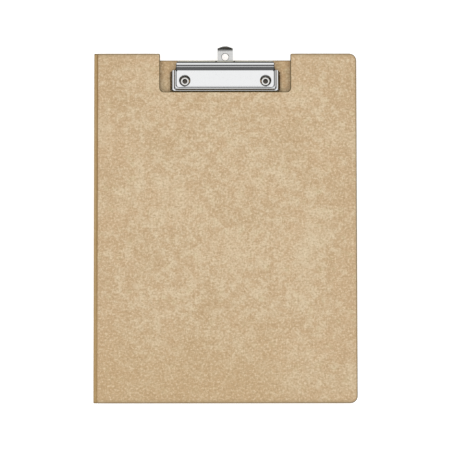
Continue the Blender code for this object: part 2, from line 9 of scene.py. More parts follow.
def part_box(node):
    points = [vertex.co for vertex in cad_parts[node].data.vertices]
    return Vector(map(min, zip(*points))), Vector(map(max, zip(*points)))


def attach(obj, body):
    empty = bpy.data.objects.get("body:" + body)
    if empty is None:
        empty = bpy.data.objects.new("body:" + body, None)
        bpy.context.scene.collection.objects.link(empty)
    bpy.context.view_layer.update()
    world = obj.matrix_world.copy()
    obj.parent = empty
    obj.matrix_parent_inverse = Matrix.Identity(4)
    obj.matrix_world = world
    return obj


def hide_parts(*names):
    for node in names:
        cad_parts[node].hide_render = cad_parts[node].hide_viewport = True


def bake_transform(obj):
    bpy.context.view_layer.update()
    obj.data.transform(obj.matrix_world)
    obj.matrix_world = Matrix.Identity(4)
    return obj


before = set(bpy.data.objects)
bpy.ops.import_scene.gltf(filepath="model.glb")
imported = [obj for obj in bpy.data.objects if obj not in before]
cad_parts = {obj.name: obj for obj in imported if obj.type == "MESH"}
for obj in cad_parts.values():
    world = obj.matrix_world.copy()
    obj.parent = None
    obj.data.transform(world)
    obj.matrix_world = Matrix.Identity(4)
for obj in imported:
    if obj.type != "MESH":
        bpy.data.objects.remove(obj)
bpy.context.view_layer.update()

MM = 0.001

# ---------------- driving places, read from the frame

BACK_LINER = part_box("back_outer_liner")
BACK_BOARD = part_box("back_board")
COVER_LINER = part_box("cover_outer_liner")
SPINE_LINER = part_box("spine_outer_liner")
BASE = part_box("clip_base_plate")
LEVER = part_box("clip_lever")
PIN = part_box("hinge_pin")
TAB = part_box("hanging_tab")
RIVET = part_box("rivet_right")

LEFT = SPINE_LINER[0].x
RIGHT = BACK_LINER[1].x
BOTTOM = BACK_LINER[0].y
TOP = BACK_LINER[1].y
DEPTH = COVER_LINER[1].z
LINER = 0.3 * MM
PART_GAP = 0.05 * MM  # between neighbouring solids in the frame, where the real ones touch
INNER_FACE = BACK_BOARD[1].z + LINER + PART_GAP
MID_DEPTH = DEPTH / 2

PIVOT_Y = (PIN[0].y + PIN[1].y) / 2
PIVOT_Z = (PIN[0].z + PIN[1].z) / 2
CLIP_HALF_WIDTH = LEVER[1].x
RIVET_X = (RIVET[0].x + RIVET[1].x) / 2
RIVETS = {"left": -RIVET_X, "right": RIVET_X}
RIVET_Y = (RIVET[0].y + RIVET[1].y) / 2

# ---------------- shapes, in the frame's own sizes

# Folder
CORNER_RADIUS = 6.5 * MM
NOTCH_HALF_WIDTH = 59 * MM
NOTCH_EDGE_Y = 123 * MM
NOTCH_INNER_RADIUS = 3.5 * MM
NOTCH_OUTER_RADIUS = 1.2 * MM
RECESS_HALF_WIDTH = 66 * MM
RECESS_EDGE_Y = 152.4 * MM
RECESS_INNER_RADIUS = 3 * MM
BOARD_SETBACK = 3.85 * MM  # the board's pressed edge at a crease, from the folder's outer corner
EDGE_WIDTH = 0.65 * MM  # the pressed edge that runs round each sheet
EDGE_DROP = 0.16 * MM
GLUE = 0.01 * MM
BOARD = INNER_FACE - 2 * LINER - 2 * GLUE
GROOVE_SETBACK = 3.3 * MM  # a crease's groove, from the folder's outer corner
GROOVE_DEPTH = 0.62 * MM
GROOVE_LAG = 0.55 * MM  # the extra distance along the sheet to the middle of the groove
SPINE_DROP = 0.14 * MM  # the liner's strip over the spine, below the cover's face
FOLD_SMOOTH = 12  # degrees
SHEET_UNIT = 100 * MM  # one unit of the paper's pattern

# Clip sheet
SHEET = 0.8 * MM
PANEL_HALF_WIDTH = 43.9 * MM
PANEL_FRONT_Y = 127.3 * MM
PANEL_REAR_Y = 141.6 * MM
PANEL_TOP = INNER_FACE + 6.9 * MM
EAR_OUTER_X = PANEL_HALF_WIDTH + 0.5 * MM
EAR_RADIUS = 2.3 * MM
JAW_GAP = 0.3 * MM
FLANGE_TAPER = 2.2 * MM
COLLAR_MOUTH = 5.15 * MM  # a rivet's access hole, where it is drawn down from the panel
COLLAR_THROAT = 4.05 * MM
COLLAR_DEPTH = 1.9 * MM
PIN_RADIUS = 1.2 * MM
PIN_HOLE_RADIUS = 1.35 * MM
BEAD_Y = 148 * MM  # the thumb lever's rolled bead, a little flattened
BEAD_RISE = 0.25 * MM
BEAD_SIZE = Vector((1.65, 1.1)) * MM
BEAD_START = math.radians(60)
BEAD_SWEEP = math.radians(242)
BEAD_STEPS = 30
# The jaw's corners as (outwards, down, radius) in mm, from the flat panel to the flange
JAW_SIDE = [(-0.8, 0, 0), (0.05, 0, 0.3), (1.05, 0.74, 0.15), (1.65, 0.82, 0.3), (2.65, 1.7, 0.15)]
JAW_SIDE += [(3.15, 1.74, 0.3), (3.75, 1.76, 0.5), (6.1, 3.75, 0.6), (6.1, 4.3, 0)]
JAW_FRONT = [(-0.7, 0, 0), (0, 0, 0.5), (0.8, 0.52, 0.2), (1.35, 0.62, 0.3), (2.65, 1.82, 0.2)]
JAW_FRONT += [(2.9, 1.86, 0.2), (3.15, 1.94, 0.5), (3.8, 3, 0.8), (3.8, 4.3, 0)]
JAW_CORNER_STEPS = 12
JAW_CORNER_RADIUS = 2.1 * MM

# Base plate
BASE_TOP = BASE[0].z + SHEET
BASE_HALF_WIDTH = BASE[1].x
BRIDGE_RISE = 0.85 * MM
BRIDGE_STEP_Y = 141.5 * MM
BRIDGE_STEP_LENGTH = 1.6 * MM
BRIDGE_CLEARANCE = 0.45 * MM
BRIDGE_FLANK = 1.2 * MM
BRIDGE_BEND = 0.5 * MM
BRIDGE_STEPS = 8

# Hanging tab
TAB_SHEET = 0.65 * MM
TAB_HALF_WIDTH = 7 * MM
TAB_HEAD_HALF_WIDTH = TAB[1].x
TAB_SHOULDER_Y = 141.2 * MM
TAB_LIP_Y = 159 * MM
TAB_LIP_RADIUS = 5.2 * MM
TAB_LIP_SWEEP = math.radians(78)
TAB_LIP_STEPS = 14
TAB_LIP_SLOPE = 3 * MM  # how far the lip's end slopes back to its sides
TAB_LIP_TIP = 1.4 * MM
TAB_HOLE_Y = 155.5 * MM
TAB_HOLE_RADIUS = 3.1 * MM
TAB_HOLE_RIM = 3.5 * MM
TAB_CHAMFER = 0.25 * MM
TAB_EDGE = 0.28 * MM

# Rivets and springs
RIVET_BORE = 2.1 * MM
RIVET_SHANK = 2.6 * MM
RIVET_HEAD = 4.2 * MM
RIVET_RIM = 3.85 * MM
RIVET_HOLE = 2.8 * MM
RIVET_HEAD_HOLE = 4.5 * MM
RIVET_FLOOR_Z = 0.6 * MM
RIVET_RIM_HEIGHT = 0.9 * MM
WIRE_RADIUS = 0.45 * MM
COIL_RADIUS = 1.85 * MM
COIL_PITCH = 1.1 * MM
COIL_TURNS = 5
COIL_STEPS = 36  # in a turn
COIL_OUTER_X = 30 * MM
SPRING_LEG_LENGTH = 6.3 * MM
SPRING_LEVER_LEG = 4.3 * MM
SPRING_EXIT_ANGLE = math.radians(118)

# Studio
FLOOR_Z = -13 * MM
FLOOR_SIZE = 16.0
FLOOR_GLOW = 0.45
WORLD_LIGHT = 0.4
SOFTBOX_PLACE = Vector((0, 0.05, 1.6))
SOFTBOX_SIZE = 2.4
SOFTBOX_POWER = 27.5
BACKDROP_RADIUS = FLOOR_SIZE * 0.48
BACKDROP_TOP = 6.0
BACKDROP_GLOW = 0.8
CEILING_Z = 2.5
CEILING_RADIUS = 1.5
CEILING_GLOW = 0.97
CARD_RADIUS = 1.0
CARD_HALF_ANGLE = 28  # degrees
CARD_HALF_STEPS = 12
DARK_CARD_TOP = 0.19
DARK_CARD_GLOW = 0.03
GREY_CARD_TOP = 0.8
GREY_CARD_GLOW = 0.125
CAMERA_TARGET = Vector((0.6 * MM, 1.5 * MM, DEPTH))
CAMERA_DISTANCE = 1.3
CAMERA_LENS = 115.0
CAMERA_TILT = math.radians(2.2)
CAMERA_ROLL = math.radians(-0.05)

# Meshes
ARC_STEPS = 14
ROUND_STEPS = 48
CUT_SNAP = 1e-7
WELD = 1e-6
ALONG_PIN = Matrix.Translation((0, PIVOT_Y, PIVOT_Z)) @ Matrix.Rotation(math.pi / 2, 4, "Y")


# ---------------- meshes


def shade(mesh, smooth):
    """Shades angles up to smooth, in degrees, round."""
    mesh.shade_smooth()
    mesh.set_sharp_from_angle(angle=math.radians(smooth))


def obj_from(name, cage, looks, smooth=40):
    """A linked object from a bmesh."""
    mesh = bpy.data.meshes.new(name)
    cage.normal_update()
    cage.to_mesh(mesh)
    cage.free()
    for look in looks:
        mesh.materials.append(look)
    shade(mesh, smooth)
    obj = bpy.data.objects.new(name, mesh)
    bpy.context.scene.collection.objects.link(obj)
    return obj


def evaluated_mesh(obj):
    """A new mesh of an object with its modifiers applied, or of a curve."""
    bpy.context.view_layer.update()
    graph = bpy.context.evaluated_depsgraph_get()
    return bpy.data.meshes.new_from_object(obj.evaluated_get(graph))


def apply_modifiers(obj):
    mesh = evaluated_mesh(obj)
    old = obj.data
    obj.modifiers.clear()
    obj.data = mesh
    bpy.data.meshes.remove(old)
    mesh.name = obj.name


def settle(obj):
    """Applies an object's modifiers, and shades it again."""
    apply_modifiers(obj)
    shade(obj.data, 40)
    return obj


def flatten_shading(obj):
    """Lets the large flat faces set the shading, so that only the bends round off."""
    weigh = obj.modifiers.new("shading", "WEIGHTED_NORMAL")
    weigh.mode = "FACE_AREA"
    weigh.weight = 100
    weigh.keep_sharp = True
    apply_modifiers(obj)


def curve_cage(curve, paths, closed):
    """A bmesh of a curve through paths of (x, y, z) points. The curve's own settings give it faces."""
    for path in paths:
        spline = curve.splines.new("POLY")
        spline.points.add(len(path) - 1)
        for point, place_at in zip(spline.points, path):
            point.co = (*place_at, 1)
        spline.use_cyclic_u = closed
    holder = bpy.data.objects.new("curve", curve)
    bpy.context.scene.collection.objects.link(holder)
    mesh = evaluated_mesh(holder)
    cage = bmesh.new()
    cage.from_mesh(mesh)
    bpy.data.objects.remove(holder)
    bpy.data.meshes.remove(mesh)
    bmesh.ops.remove_doubles(cage, verts=cage.verts, dist=CUT_SNAP)
    return cage


def rounded(corners, closed=True, steps=ARC_STEPS, each=0):
    """Points of a path from (x, y, radius) corners, with an arc at each corner that has a radius.

    An arc has `each` steps if that is given, and otherwise steps for each quarter turn.
    """
    points = []
    for i, (x, y, radius) in enumerate(corners):
        here = Vector((x, y))
        if not radius or (not closed and i in (0, len(corners) - 1)):
            points.append(here)
            continue
        before = (Vector(corners[i - 1][:2]) - here).normalized()
        after = (Vector(corners[(i + 1) % len(corners)][:2]) - here).normalized()
        half = before.angle(after) / 2
        centre = here + (before + after).normalized() * (radius / math.sin(half))
        start = here + before * (radius / math.tan(half)) - centre
        end = here + after * (radius / math.tan(half)) - centre
        turn = start.angle_signed(end)
        count = each or max(2, round(steps * abs(turn) / (math.pi / 2)))
        for step in range(count + 1):
            spoke = start.copy()
            spoke.rotate(Matrix.Rotation(-turn * step / count, 2))
            points.append(centre + spoke)
    return points


def ring(x, y, radius, count=40):
    """Points round a circle."""
    angles = [2 * math.pi * k / count for k in range(count)]
    return [Vector((x + radius * math.cos(a), y + radius * math.sin(a))) for a in angles]


def flat_faces(loops):
    """A bmesh of the area inside closed loops. Loops inside the first one are holes."""
    curve = bpy.data.curves.new("outline", "CURVE")
    curve.dimensions = "2D"
    curve.fill_mode = "FRONT"
    cage = curve_cage(curve, [[(x, y, 0) for x, y, *_ in loop] for loop in loops], closed=True)
    for face in cage.faces:
        if face.normal.z < 0:
            face.normal_flip()
    return cage


def cut_at(cage, normal, distances, drop=False):
    """Cuts the whole mesh at planes across one axis, and drops what lies beyond them if told to."""
    for distance in distances:
        geometry = cage.verts[:] + cage.edges[:] + cage.faces[:]
        place_at = Vector(normal) * distance
        bmesh.ops.bisect_plane(
            cage, geom=geometry, dist=CUT_SNAP, plane_co=place_at, plane_no=normal, clear_outer=drop
        )


def sheet_uv(cage):
    """Stores each point's place on the flat sheet, so that the paper's pattern bends with it."""
    layer = cage.loops.layers.uv.new("sheet")
    for face in cage.faces:
        for loop in face.loops:
            loop[layer].uv = loop.vert.co.xy / SHEET_UNIT


def pressed_slab(loops, thickness, curl, stations=()):
    """A flat closed slab with its top at height 0. A pressed edge runs all round, in the second material.

    The edge's underside goes down with its top where curl is 1, and up to meet it where curl is -1.
    Stations, if given, are where the slab will bend, and it ends at the last one.
    """
    cage = flat_faces(loops)
    ringed = bmesh.ops.inset_region(
        cage, faces=cage.faces, thickness=EDGE_WIDTH, use_even_offset=True, use_boundary=True
    )
    for face in ringed["faces"]:
        face.material_index = 1
    outer = {vert for edge in cage.edges if edge.is_boundary for vert in edge.verts}
    for vert in outer:
        vert.co.z = -EDGE_DROP
    if stations:
        cut_at(cage, (1, 0, 0), [u for u, *_ in stations[:-1]])
        cut_at(cage, (-1, 0, 0), [-stations[-1][0]], drop=True)
    top = set(cage.faces)
    made = bmesh.ops.extrude_face_region(cage, geom=list(top), use_keep_orig=True)["geom"]
    for item in made:
        if isinstance(item, bmesh.types.BMVert):
            item.co.z = curl * item.co.z - thickness
    known = top.union(item for item in made if isinstance(item, bmesh.types.BMFace))
    for face in cage.faces:
        if face not in known:
            face.material_index = 1
    bmesh.ops.recalc_face_normals(cage, faces=cage.faces)
    sheet_uv(cage)
    return cage


def stations_on(path):
    """(distance, point, direction) along a path. Its distances start at its first x and run down from it."""
    reached = [path[0].x]
    for near, far in zip(path, path[1:]):
        reached.append(reached[-1] - (far - near).length)
    headings = [(far - near).normalized() for near, far in zip(path, path[1:])]
    joined = [headings[0], *[(a + b).normalized() for a, b in zip(headings, headings[1:])], headings[-1]]
    return list(zip(reached, path, joined))


def fold(cage, stations, side):
    """Folds a flat sheet along a path in XZ, with the stations on it.

    The sheet's height above the flat becomes its height above the path, or below it where side is -1.
    """
    first_u, start, _ = stations[0]
    for vert in cage.verts:
        u, y, height = vert.co
        if u >= first_u:
            vert.co = (u, y, start.y + side * height)
            continue
        after = next((i for i, station in enumerate(stations) if station[0] <= u + 1e-8), len(stations) - 1)
        (near_u, near, near_way), (far_u, far, far_way) = stations[after - 1], stations[after]
        share = min(1, (near_u - u) / (near_u - far_u))
        way = near_way.lerp(far_way, share).normalized()
        at = near.lerp(far, share) + Vector((way.y, -way.x)) * side * height
        vert.co = (at.x, y, at.y)
    if side < 0:
        bmesh.ops.reverse_faces(cage, faces=cage.faces)


# ---------------- folder


def notched_outline(left, half_width, edge_y, inner_radius):
    """The folder's outline from a left edge, with a notch in the middle of its top."""
    return rounded(
        [
            (left, BOTTOM, 0),
            (RIGHT, BOTTOM, CORNER_RADIUS),
            (RIGHT, TOP, CORNER_RADIUS),
            (half_width, TOP, NOTCH_OUTER_RADIUS),
            (half_width, edge_y, inner_radius),
            (-half_width, edge_y, inner_radius),
            (-half_width, TOP, NOTCH_OUTER_RADIUS),
            (left, TOP, 0),
        ]
    )


def cover_outline(left):
    return notched_outline(left, NOTCH_HALF_WIDTH, NOTCH_EDGE_Y, NOTCH_INNER_RADIUS)


def back_outline(left):
    return notched_outline(left, RECESS_HALF_WIDTH, RECESS_EDGE_Y, RECESS_INNER_RADIUS)


def outer_path(flip):
    """The outer liner's face from the flat, through the crease's groove, round the corner to mid-spine.

    flip is 1 at the cover and -1 at the back, which mirrors it.
    """
    groove_x = LEFT + GROOVE_SETBACK
    corners = [
        (groove_x + 1.4 * MM, 0, 0),
        (groove_x + 0.65 * MM, 0, 0.5 * MM),
        (groove_x, GROOVE_DEPTH, 0.3 * MM),
        (groove_x - 0.6 * MM, SPINE_DROP, 0.5 * MM),
        (LEFT, SPINE_DROP, 1.1 * MM),
        (LEFT, MID_DEPTH, 0),
    ]
    return rounded([(x, MID_DEPTH + flip * (MID_DEPTH - down), r) for x, down, r in corners], closed=False)


def inner_path(flip):
    """The inner liner's face from the flat, down into the crease's gap and up the spine's inner face."""
    corners = [
        (LEFT + 4.7 * MM, INNER_FACE, 0),
        (LEFT + 3.55 * MM, INNER_FACE, 0.5 * MM),
        (LEFT + 3 * MM, 1.3 * MM, 0.4 * MM),
        (LEFT + 0.9 * MM, 0.9 * MM, 0.3 * MM),
        (LEFT + 0.9 * MM, 2.1 * MM, 0.4 * MM),
        (LEFT + INNER_FACE, 3.15 * MM, 0.5 * MM),
        (LEFT + INNER_FACE, MID_DEPTH, 0),
    ]
    return rounded([(x, MID_DEPTH + flip * (MID_DEPTH - up), r) for x, up, r in corners], closed=False)


def liner(name, outline, holes, path, side, looks, replaced):
    """One of the four sheets of paper. It runs over a crease and ends at mid-spine."""
    stations = stations_on(path)
    beyond = stations[-1][0] - 4 * EDGE_WIDTH
    cage = pressed_slab([outline(beyond), *holes], LINER, 1, stations)
    fold(cage, stations, side)
    piece = obj_from(name, cage, looks, smooth=FOLD_SMOOTH)
    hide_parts(*replaced)
    return piece


def crease_blend(piece, flip):
    """Bakes a liner's transform into its mesh, the same on either side."""
    if flip < 0:
        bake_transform(piece)
    else:
        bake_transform(piece)


def board(name, outline, holes, top, looks, body, replaced):
    """The back's or the cover's board, between its liners."""
    cage = pressed_slab([outline(LEFT + BOARD_SETBACK), *holes], BOARD, -1)
    bmesh.ops.translate(cage, verts=cage.verts, vec=(0, 0, top - GLUE))
    piece = obj_from(name, cage, looks, smooth=FOLD_SMOOTH)
    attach(piece, body)
    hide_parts(replaced)
    return piece


def spine_board(looks):
    """The spine's strip of board, upright between the creases."""
    low, high = BOARD_SETBACK, DEPTH - BOARD_SETBACK
    outline = rounded([(low, BOTTOM, 0), (high, BOTTOM, 0), (high, TOP, 0), (low, TOP, 0)])
    cage = pressed_slab([outline], BOARD, -1)
    right = LEFT + INNER_FACE - LINER - GLUE
    cage.transform(Matrix(((0, 0, 1, right), (0, 1, 0, 0), (1, 0, 0, 0), (0, 0, 0, 1))))
    bmesh.ops.recalc_face_normals(cage, faces=cage.faces)
    piece = obj_from("spine_core", cage, looks, smooth=FOLD_SMOOTH)
    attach(piece, "spine")
    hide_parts("spine_board")


def folder(kraft, lining, grey):
    """Two outer and two inner liners, each with its look and its pressed edge's, and three boards."""
    heads = [ring(x, RIVET_Y, RIVET_HEAD_HOLE) for x in RIVETS.values()]
    shanks = [ring(x, RIVET_Y, RIVET_HOLE) for x in RIVETS.values()]

    back = liner("back_kraft", back_outline, heads, outer_path(-1), -1, kraft,
                 ["back_outer_liner", "spine_outer_liner"])
    crease_blend(back, -1)
    cover = liner("cover_kraft", cover_outline, [], outer_path(1), 1, kraft, ["cover_outer_liner"])
    crease_blend(cover, 1)
    back_lining = liner("back_lining", back_outline, shanks, inner_path(-1), 1, lining,
                        ["back_inner_liner", "spine_inner_liner"])
    crease_blend(back_lining, -1)
    cover_lining = liner("cover_lining", cover_outline, [], inner_path(1), -1, lining, ["cover_inner_liner"])
    crease_blend(cover_lining, 1)

    board("back_core", back_outline, shanks, INNER_FACE - LINER, grey, "back", "back_board")
    board("cover_core", cover_outline, [], DEPTH - LINER, grey, "cover", "cover_board")
    spine_board(grey)


# ---------------- clip


def loft_rows(cage, rows, closed=False):
    """Faces between each row of points and the next."""
    made = [[cage.verts.new(point) for point in row] for row in rows]
    for near, far in zip(made, made[1:]):
        for k in range(0 if closed else 1, len(near)):
            cage.faces.new((near[k - 1], near[k], far[k], far[k - 1]))
    return made


def sheet_piece(name, cage, look, thickness):
    """Pressed sheet of a surface, which is its upper face."""
    bmesh.ops.remove_doubles(cage, verts=cage.verts, dist=WELD)
    bmesh.ops.recalc_face_normals(cage, faces=cage.faces)
    if max(cage.faces, key=lambda face: abs(face.normal.z) * face.calc_area()).normal.z < 0:
        bmesh.ops.reverse_faces(cage, faces=cage.faces)
    piece = obj_from(name, cage, [look])
    solid = piece.modifiers.new("thickness", "SOLIDIFY")
    solid.thickness = thickness
    solid.offset = -1
    solid.use_even_offset = True
    return piece


def turned_cage(profile, steps=ROUND_STEPS):
    """A bmesh turned about Z from (radius, height) points. A profile that starts off the axis is a ring."""
    cage = bmesh.new()
    rows = []
    for k in range(steps):
        angle = 2 * math.pi * k / steps
        rows.append([(r * math.cos(angle), r * math.sin(angle), z) for r, z in profile])
    made = loft_rows(cage, rows + [rows[0]], closed=profile[0][0] > 0)
    bmesh.ops.remove_doubles(cage, verts=cage.verts, dist=CUT_SNAP)
    bmesh.ops.recalc_face_normals(cage, faces=cage.faces)
    return cage


def rod_cage(radius, low, high, steps=ROUND_STEPS):
    return turned_cage([(0, low), (radius, low), (radius, high), (0, high)], steps)


def cutter(name, cage, matrix=None):
    """A solid that a Boolean uses, and that is removed afterwards."""
    if matrix:
        cage.transform(matrix)
        bmesh.ops.recalc_face_normals(cage, faces=cage.faces)
    return obj_from(name, cage, [])


def carve(piece, tools):
    """Unites or cuts a piece with each (tool, operation), applies it and removes the tools."""
    for tool, operation in tools:
        boolean = piece.modifiers.new(tool.name, "BOOLEAN")
        boolean.operation = operation
        boolean.object = tool
    settle(piece)
    for tool, _ in tools:
        bpy.data.objects.remove(tool)


def soften(piece, width):
    """Rounds the sharp edges of a settled piece a little, and gives them its dark second material: painted
    shade and dark reflection along the edges.
    """
    bevel = piece.modifiers.new("edges", "BEVEL")
    bevel.width = width
    bevel.segments = 2
    bevel.limit_method = "ANGLE"
    bevel.angle_limit = math.radians(55)
    bevel.material = 1
    settle(piece)


def upright_cage(loops, low_x, thickness):
    """A plate that stands in YZ, from an outline of (y, z) points and any holes in it."""
    cage = flat_faces(loops)
    made = bmesh.ops.extrude_face_region(cage, geom=cage.faces[:], use_keep_orig=True)["geom"]
    moved = [item for item in made if isinstance(item, bmesh.types.BMVert)]
    bmesh.ops.translate(cage, verts=moved, vec=(0, 0, thickness))
    cage.transform(Matrix(((0, 0, 1, low_x), (1, 0, 0, 0), (0, 1, 0, 0), (0, 0, 0, 1))))
    bmesh.ops.recalc_face_normals(cage, faces=cage.faces)
    return cage


def collar_rows(x):
    """Rings from the panel down a drawn collar, round a rivet's access hole."""
    mouth = rounded(
        [
            (COLLAR_MOUTH + 0.45 * MM, PANEL_TOP, 0),
            (COLLAR_MOUTH - 0.02 * MM, PANEL_TOP, 0.6 * MM),
            (COLLAR_THROAT, PANEL_TOP - COLLAR_DEPTH + 0.5 * MM, 0.4 * MM),
            (COLLAR_THROAT, PANEL_TOP - COLLAR_DEPTH, 0),
        ],
        closed=False,
    )
    return [[(*p, spoke.y) for p in ring(x, RIVET_Y, spoke.x, ROUND_STEPS)] for spoke in mouth]


def joined(piece, cages):
    """Adds other closed shells to a settled piece."""
    whole = bmesh.new()
    whole.from_mesh(piece.data)
    for cage in cages:
        loose = bpy.data.meshes.new("shell")
        cage.to_mesh(loose)
        cage.free()
        whole.from_mesh(loose)
        bpy.data.meshes.remove(loose)
    whole.to_mesh(piece.data)
    whole.free()
    shade(piece.data, 40)


def jaw_profile(corners):
    """(outwards, up) points from the panel down the step and over the rim into the flange."""
    path = [(out * MM, -down * MM, radius * MM) for out, down, radius in corners]
    return rounded(path, closed=False, each=8)


def ramp(values, at):
    """The value at a place between (place, value) knots."""
    for (near, low), (far, high) in zip(values, values[1:]):
        if at <= far:
            return low + (high - low) * max(0, at - near) / (far - near)
    return values[-1][1]


def jaw_row(half_width, front_y, radius, rear_y, rear_z, side_z, front_z):
    """One line round the jaw, from its left rear end by the front to its right rear end."""
    quarter = []
    for step in range(JAW_CORNER_STEPS + 1):
        share = step / JAW_CORNER_STEPS
        turn = math.pi / 2 * share
        x = half_width - radius + radius * math.cos(turn)
        y = front_y + radius - radius * math.sin(turn)
        quarter.append((x, y, side_z + (front_z - side_z) * share))
    right = [(half_width, rear_y, rear_z), *quarter]
    left = [(-x, y, z) for x, y, z in right]
    return left + right[::-1]


def jaw_rows():
    """Lines round the jaw, from the edge of the flat panel to the bottom of the flange."""
    side, front = jaw_profile(JAW_SIDE), jaw_profile(JAW_FRONT)
    radii = [(PANEL_HALF_WIDTH, 2.8 * MM), (46.3 * MM, 2.6 * MM), (48.4 * MM, 1.7 * MM)]
    radii.append((50 * MM, JAW_CORNER_RADIUS))
    rears = [(PANEL_HALF_WIDTH, PANEL_REAR_Y), (46.3 * MM, 143.3 * MM), (50 * MM, 141.08 * MM)]
    rows = []
    for out, ahead in zip(side, front):
        half_width = PANEL_HALF_WIDTH + out.x
        radius = ramp(radii, half_width)
        rear_y = ramp(rears, half_width)
        side_z, front_z = PANEL_TOP + out.y, PANEL_TOP + ahead.y
        rows.append(jaw_row(half_width, PANEL_FRONT_Y - ahead.x, radius, rear_y, side_z, side_z, front_z))
    low = INNER_FACE + JAW_GAP
    rear_y = ramp(rears, CLIP_HALF_WIDTH)
    front_y = PANEL_FRONT_Y - front[-1].x
    rows.append(jaw_row(CLIP_HALF_WIDTH, front_y, JAW_CORNER_RADIUS, rear_y, low + FLANGE_TAPER, low, low))
    return rows


def thumb_profile():
    """(y, z) points of the thumb lever behind the panel, and the centre of its rolled bead."""
    centre = Vector((BEAD_Y, LEVER[1].z + BEAD_RISE - BEAD_SIZE.y))

    def on_bead(turn):
        return centre + BEAD_SIZE * Vector((-math.sin(turn), math.cos(turn)))

    ledge = centre - Vector((2.55, 0.25)) * MM
    meet = on_bead(BEAD_START)
    corners = [
        (PANEL_REAR_Y, PANEL_TOP, 0),
        (PANEL_REAR_Y + 0.7 * MM, PANEL_TOP, 1.2 * MM),
        (ledge.x - 0.15 * MM, ledge.y - 0.03 * MM, 0.4 * MM),
        (ledge.x + 0.25 * MM, ledge.y + 0.03 * MM, 0.4 * MM),
        (meet.x, meet.y, 0),
    ]
    points = rounded(corners, closed=False)
    for step in range(1, BEAD_STEPS + 1):
        points.append(on_bead(BEAD_START - BEAD_SWEEP * step / BEAD_STEPS))
    return points, centre


def web_cage(side):
    """The tilted web between one end of the thumb lever and the jaw's shoulder below it, all in the dark
    second material: painted shade and dark reflection.
    """
    corners = [(-0.5, 0.1, -0.1), (-0.5, 4.7, 2.9), (0.4, 4.5, 2.2), (1.4, 1.2, -1.0), (1.9, -0.3, -2.0)]
    cage = bmesh.new()
    low, high = [], []
    for out, back, up in corners:
        at = Vector((side * (PANEL_HALF_WIDTH + out * MM), PANEL_REAR_Y + back * MM, PANEL_TOP + up * MM))
        high.append(cage.verts.new(at))
        low.append(cage.verts.new(at - Vector((0, 0, SHEET))))
    for a, b, c in ((0, 1, 2), (0, 2, 3), (0, 3, 4)):
        cage.faces.new((high[a], high[b], high[c]))
        cage.faces.new((low[c], low[b], low[a]))
    for k in range(len(corners)):
        cage.faces.new((high[k - 1], high[k], low[k], low[k - 1]))
    for face in cage.faces:
        face.material_index = 1
    bmesh.ops.recalc_face_normals(cage, faces=cage.faces)
    return cage


def lever_ears(roll_centre):
    """The plates under the lever's ends, from its bead to the pin. Their cut edges have the dark second look:
    painted shade and dark reflection.
    """
    inset = SHEET / 2
    angles = [math.radians(angle) for angle in range(180, 331, 10)]
    outline = [
        (roll_centre.x + 0.7 * MM, roll_centre.y - 0.4 * MM),
        (roll_centre.x - 0.7 * MM, roll_centre.y + 0.4 * MM),
        (PANEL_REAR_Y + inset, PANEL_TOP - inset),
        (PIVOT_Y - EAR_RADIUS, PANEL_TOP - inset),
        *[(PIVOT_Y + EAR_RADIUS * math.cos(a), PIVOT_Z + EAR_RADIUS * math.sin(a)) for a in angles],
    ]
    loops = [outline, ring(PIVOT_Y, PIVOT_Z, PIN_HOLE_RADIUS, 24)]
    ears = [upright_cage(loops, x, SHEET) for x in (-EAR_OUTER_X, EAR_OUTER_X - SHEET)]
    for cage in ears:
        for face in cage.faces:
            face.material_index = 1 if abs(face.normal.x) < 0.5 else 0
    return ears


def lever(chrome, edge):
    """The flat panel with its collars, the jaw round it and the thumb lever behind it, on two ears."""
    rows = jaw_rows()
    collars = [collar_rows(x) for x in RIVETS.values()]
    cage = flat_faces([rows[0], *[collar[0] for collar in collars]])
    bmesh.ops.translate(cage, verts=cage.verts, vec=(0, 0, PANEL_TOP))
    loft_rows(cage, rows)
    for collar in collars:
        loft_rows(cage, collar, closed=True)
    thumb, roll_centre = thumb_profile()
    widths = [(0, rows[0][-1][0]), (5, PANEL_HALF_WIDTH)]
    loft_rows(cage, [[(side * ramp(widths, i), p.x, p.y) for side in (-1, 1)] for i, p in enumerate(thumb)])
    piece = settle(sheet_piece("lever_plate", cage, chrome, SHEET))
    piece.data.materials.append(edge)
    joined(piece, [*lever_ears(roll_centre), web_cage(-1), web_cage(1)])
    flatten_shading(piece)
    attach(piece, "lever")
    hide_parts("clip_lever")


def base_row(y, half_width):
    """The base plate's upper face across x, raised over the hanging tab."""
    crown = half_width + 0.28 * MM
    foot = crown + BRIDGE_FLANK
    right = [(crown, BRIDGE_RISE, BRIDGE_BEND), (foot, 0, BRIDGE_BEND), (BASE_HALF_WIDTH, 0, 0)]
    left = [(-x, up, radius) for x, up, radius in reversed(right)]
    path = rounded(left + right, closed=False, steps=8)
    return [(p.x, y, BASE_TOP + p.y) for p in path]


